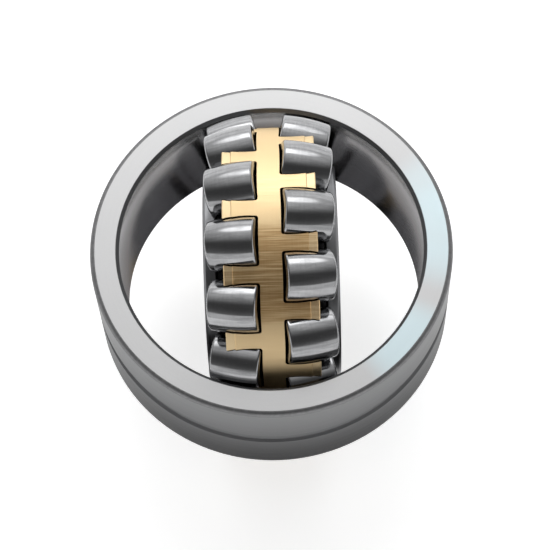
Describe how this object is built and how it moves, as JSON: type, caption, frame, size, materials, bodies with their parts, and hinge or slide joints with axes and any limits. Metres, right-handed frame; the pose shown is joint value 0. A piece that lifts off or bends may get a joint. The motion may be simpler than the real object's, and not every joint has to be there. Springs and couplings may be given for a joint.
{
  "type": "spherical roller bearing",
  "caption": "Double-row spherical roller bearing with a machined brass cage, its inner assembly swivelled open square to the grooved outer ring.",
  "frame": {"origin": "centre of the spherical raceway, where the outer ring's axis and the inner assembly's axis cross; it is also the centre of the whole part's box at rest", "axes": "+Z along the outer ring's axis, +X along the common axis of the inner ring, cage and both roller rows at rest, and Y along the swivel axis"},
  "size_m": [0.09, 0.09, 0.0808],
  "materials": {
    "ground_steel": "satin ground bearing steel",
    "ring_steel": "dark satin bearing steel",
    "guide_steel": "dark satin steel",
    "roller_steel": "mirror-polished bearing steel",
    "machined_brass": "fine-turned brass"
  },
  "bodies": {
    "outer_ring": {"outer_ring": "ground_steel"},
    "inner_ring": {"inner_ring": "ring_steel"},
    "guide_ring": {"guide_ring": "guide_steel"},
    "cage": {"cage": "machined_brass"},
    "roller_right_01": {"roller_right_01": "roller_steel"},
    "roller_right_02": {"roller_right_02": "roller_steel"},
    "roller_right_03": {"roller_right_03": "roller_steel"},
    "roller_right_04": {"roller_right_04": "roller_steel"},
    "roller_right_05": {"roller_right_05": "roller_steel"},
    "roller_right_06": {"roller_right_06": "roller_steel"},
    "roller_right_07": {"roller_right_07": "roller_steel"},
    "roller_right_08": {"roller_right_08": "roller_steel"},
    "roller_right_09": {"roller_right_09": "roller_steel"},
    "roller_right_10": {"roller_right_10": "roller_steel"},
    "roller_right_11": {"roller_right_11": "roller_steel"},
    "roller_right_12": {"roller_right_12": "roller_steel"},
    "roller_right_13": {"roller_right_13": "roller_steel"},
    "roller_right_14": {"roller_right_14": "roller_steel"},
    "roller_left_01": {"roller_left_01": "roller_steel"},
    "roller_left_02": {"roller_left_02": "roller_steel"},
    "roller_left_03": {"roller_left_03": "roller_steel"},
    "roller_left_04": {"roller_left_04": "roller_steel"},
    "roller_left_05": {"roller_left_05": "roller_steel"},
    "roller_left_06": {"roller_left_06": "roller_steel"},
    "roller_left_07": {"roller_left_07": "roller_steel"},
    "roller_left_08": {"roller_left_08": "roller_steel"},
    "roller_left_09": {"roller_left_09": "roller_steel"},
    "roller_left_10": {"roller_left_10": "roller_steel"},
    "roller_left_11": {"roller_left_11": "roller_steel"},
    "roller_left_12": {"roller_left_12": "roller_steel"},
    "roller_left_13": {"roller_left_13": "roller_steel"},
    "roller_left_14": {"roller_left_14": "roller_steel"}
  },
  "joints": [
    {"name": "swivel", "type": "hinge", "parent": "outer_ring", "child": "guide_ring", "pos_m": [0, 0, 0], "axis": [0, 1, 0], "range_deg": [-90, 90]},
    {"name": "inner_ring_spin", "type": "hinge", "parent": "guide_ring", "child": "inner_ring", "pos_m": [0, 0, 0], "axis": [1, 0, 0], "continuous": true},
    {"name": "cage_orbit", "type": "hinge", "parent": "guide_ring", "child": "cage", "pos_m": [0, 0, 0], "axis": [1, 0, 0], "continuous": true},
    {"name": "roller_right_01_spin", "type": "hinge", "parent": "cage", "child": "roller_right_01", "pos_m": [0.0085, -0.00027, 0.03297], "axis": [0.9684, 0.002, -0.2495], "continuous": true},
    {"name": "roller_right_02_spin", "type": "hinge", "parent": "cage", "child": "roller_right_02", "pos_m": [0.0085, -0.01455, 0.02959], "axis": [0.9684, 0.1101, -0.2239], "continuous": true},
    {"name": "roller_right_03_spin", "type": "hinge", "parent": "cage", "child": "roller_right_03", "pos_m": [0.0085, -0.02595, 0.02035], "axis": [0.9684, 0.1964, -0.154], "continuous": true},
    {"name": "roller_right_04_spin", "type": "hinge", "parent": "cage", "child": "roller_right_04", "pos_m": [0.0085, -0.03221, 0.00707], "axis": [0.9684, 0.2437, -0.0535], "continuous": true},
    {"name": "roller_right_05_spin", "type": "hinge", "parent": "cage", "child": "roller_right_05", "pos_m": [0.0085, -0.03208, -0.0076], "axis": [0.9684, 0.2428, 0.0575], "continuous": true},
    {"name": "roller_right_06_spin", "type": "hinge", "parent": "cage", "child": "roller_right_06", "pos_m": [0.0085, -0.02561, -0.02077], "axis": [0.9684, 0.1938, 0.1572], "continuous": true},
    {"name": "roller_right_07_spin", "type": "hinge", "parent": "cage", "child": "roller_right_07", "pos_m": [0.0085, -0.01406, -0.02982], "axis": [0.9684, 0.1064, 0.2257], "continuous": true},
    {"name": "roller_right_08_spin", "type": "hinge", "parent": "cage", "child": "roller_right_08", "pos_m": [0.0085, 0.00027, -0.03297], "axis": [0.9684, -0.002, 0.2495], "continuous": true},
    {"name": "roller_right_09_spin", "type": "hinge", "parent": "cage", "child": "roller_right_09", "pos_m": [0.0085, 0.01455, -0.02959], "axis": [0.9684, -0.1101, 0.2239], "continuous": true},
    {"name": "roller_right_10_spin", "type": "hinge", "parent": "cage", "child": "roller_right_10", "pos_m": [0.0085, 0.02595, -0.02035], "axis": [0.9684, -0.1964, 0.154], "continuous": true},
    {"name": "roller_right_11_spin", "type": "hinge", "parent": "cage", "child": "roller_right_11", "pos_m": [0.0085, 0.03221, -0.00707], "axis": [0.9684, -0.2437, 0.0535], "continuous": true},
    {"name": "roller_right_12_spin", "type": "hinge", "parent": "cage", "child": "roller_right_12", "pos_m": [0.0085, 0.03208, 0.0076], "axis": [0.9684, -0.2428, -0.0575], "continuous": true},
    {"name": "roller_right_13_spin", "type": "hinge", "parent": "cage", "child": "roller_right_13", "pos_m": [0.0085, 0.02561, 0.02077], "axis": [0.9684, -0.1938, -0.1572], "continuous": true},
    {"name": "roller_right_14_spin", "type": "hinge", "parent": "cage", "child": "roller_right_14", "pos_m": [0.0085, 0.01406, 0.02982], "axis": [0.9684, -0.1064, -0.2257], "continuous": true},
    {"name": "roller_left_01_spin", "type": "hinge", "parent": "cage", "child": "roller_left_01", "pos_m": [-0.0085, -0.00693, 0.03224], "axis": [0.9684, -0.0524, 0.244], "continuous": true},
    {"name": "roller_left_02_spin", "type": "hinge", "parent": "cage", "child": "roller_left_02", "pos_m": [-0.0085, -0.02023, 0.02604], "axis": [0.9684, -0.1531, 0.1971], "continuous": true},
    {"name": "roller_left_03_spin", "type": "hinge", "parent": "cage", "child": "roller_left_03", "pos_m": [-0.0085, -0.02952, 0.01468], "axis": [0.9684, -0.2234, 0.1111], "continuous": true},
    {"name": "roller_left_04_spin", "type": "hinge", "parent": "cage", "child": "roller_left_04", "pos_m": [-0.0085, -0.03297, 0.00042], "axis": [0.9684, -0.2495, 0.0032], "continuous": true},
    {"name": "roller_left_05_spin", "type": "hinge", "parent": "cage", "child": "roller_left_05", "pos_m": [-0.0085, -0.02989, -0.01393], "axis": [0.9684, -0.2262, -0.1054], "continuous": true},
    {"name": "roller_left_06_spin", "type": "hinge", "parent": "cage", "child": "roller_left_06", "pos_m": [-0.0085, -0.02088, -0.02552], "axis": [0.9684, -0.158, -0.1931], "continuous": true},
    {"name": "roller_left_07_spin", "type": "hinge", "parent": "cage", "child": "roller_left_07", "pos_m": [-0.0085, -0.00774, -0.03205], "axis": [0.9684, -0.0586, -0.2426], "continuous": true},
    {"name": "roller_left_08_spin", "type": "hinge", "parent": "cage", "child": "roller_left_08", "pos_m": [-0.0085, 0.00693, -0.03224], "axis": [0.9684, 0.0524, -0.244], "continuous": true},
    {"name": "roller_left_09_spin", "type": "hinge", "parent": "cage", "child": "roller_left_09", "pos_m": [-0.0085, 0.02023, -0.02604], "axis": [0.9684, 0.1531, -0.1971], "continuous": true},
    {"name": "roller_left_10_spin", "type": "hinge", "parent": "cage", "child": "roller_left_10", "pos_m": [-0.0085, 0.02952, -0.01468], "axis": [0.9684, 0.2234, -0.1111], "continuous": true},
    {"name": "roller_left_11_spin", "type": "hinge", "parent": "cage", "child": "roller_left_11", "pos_m": [-0.0085, 0.03297, -0.00042], "axis": [0.9684, 0.2495, -0.0032], "continuous": true},
    {"name": "roller_left_12_spin", "type": "hinge", "parent": "cage", "child": "roller_left_12", "pos_m": [-0.0085, 0.02989, 0.01393], "axis": [0.9684, 0.2262, 0.1054], "continuous": true},
    {"name": "roller_left_13_spin", "type": "hinge", "parent": "cage", "child": "roller_left_13", "pos_m": [-0.0085, 0.02088, 0.02552], "axis": [0.9684, 0.158, 0.1931], "continuous": true},
    {"name": "roller_left_14_spin", "type": "hinge", "parent": "cage", "child": "roller_left_14", "pos_m": [-0.0085, 0.00774, 0.03205], "axis": [0.9684, 0.0586, 0.2426], "continuous": true}
  ],
  "couplings": [
    {"joint": "cage_orbit", "follows": "inner_ring_spin", "ratio": 0.40308},
    {"joint": "roller_right_01_spin", "follows": "inner_ring_spin", "ratio": -2.4041},
    {"joint": "roller_right_02_spin", "follows": "inner_ring_spin", "ratio": -2.4041},
    {"joint": "roller_right_03_spin", "follows": "inner_ring_spin", "ratio": -2.4041},
    {"joint": "roller_right_04_spin", "follows": "inner_ring_spin", "ratio": -2.4041},
    {"joint": "roller_right_05_spin", "follows": "inner_ring_spin", "ratio": -2.4041},
    {"joint": "roller_right_06_spin", "follows": "inner_ring_spin", "ratio": -2.4041},
    {"joint": "roller_right_07_spin", "follows": "inner_ring_spin", "ratio": -2.4041},
    {"joint": "roller_right_08_spin", "follows": "inner_ring_spin", "ratio": -2.4041},
    {"joint": "roller_right_09_spin", "follows": "inner_ring_spin", "ratio": -2.4041},
    {"joint": "roller_right_10_spin", "follows": "inner_ring_spin", "ratio": -2.4041},
    {"joint": "roller_right_11_spin", "follows": "inner_ring_spin", "ratio": -2.4041},
    {"joint": "roller_right_12_spin", "follows": "inner_ring_spin", "ratio": -2.4041},
    {"joint": "roller_right_13_spin", "follows": "inner_ring_spin", "ratio": -2.4041},
    {"joint": "roller_right_14_spin", "follows": "inner_ring_spin", "ratio": -2.4041},
    {"joint": "roller_left_01_spin", "follows": "inner_ring_spin", "ratio": -2.4041},
    {"joint": "roller_left_02_spin", "follows": "inner_ring_spin", "ratio": -2.4041},
    {"joint": "roller_left_03_spin", "follows": "inner_ring_spin", "ratio": -2.4041},
    {"joint": "roller_left_04_spin", "follows": "inner_ring_spin", "ratio": -2.4041},
    {"joint": "roller_left_05_spin", "follows": "inner_ring_spin", "ratio": -2.4041},
    {"joint": "roller_left_06_spin", "follows": "inner_ring_spin", "ratio": -2.4041},
    {"joint": "roller_left_07_spin", "follows": "inner_ring_spin", "ratio": -2.4041},
    {"joint": "roller_left_08_spin", "follows": "inner_ring_spin", "ratio": -2.4041},
    {"joint": "roller_left_09_spin", "follows": "inner_ring_spin", "ratio": -2.4041},
    {"joint": "roller_left_10_spin", "follows": "inner_ring_spin", "ratio": -2.4041},
    {"joint": "roller_left_11_spin", "follows": "inner_ring_spin", "ratio": -2.4041},
    {"joint": "roller_left_12_spin", "follows": "inner_ring_spin", "ratio": -2.4041},
    {"joint": "roller_left_13_spin", "follows": "inner_ring_spin", "ratio": -2.4041},
    {"joint": "roller_left_14_spin", "follows": "inner_ring_spin", "ratio": -2.4041}
  ]
}
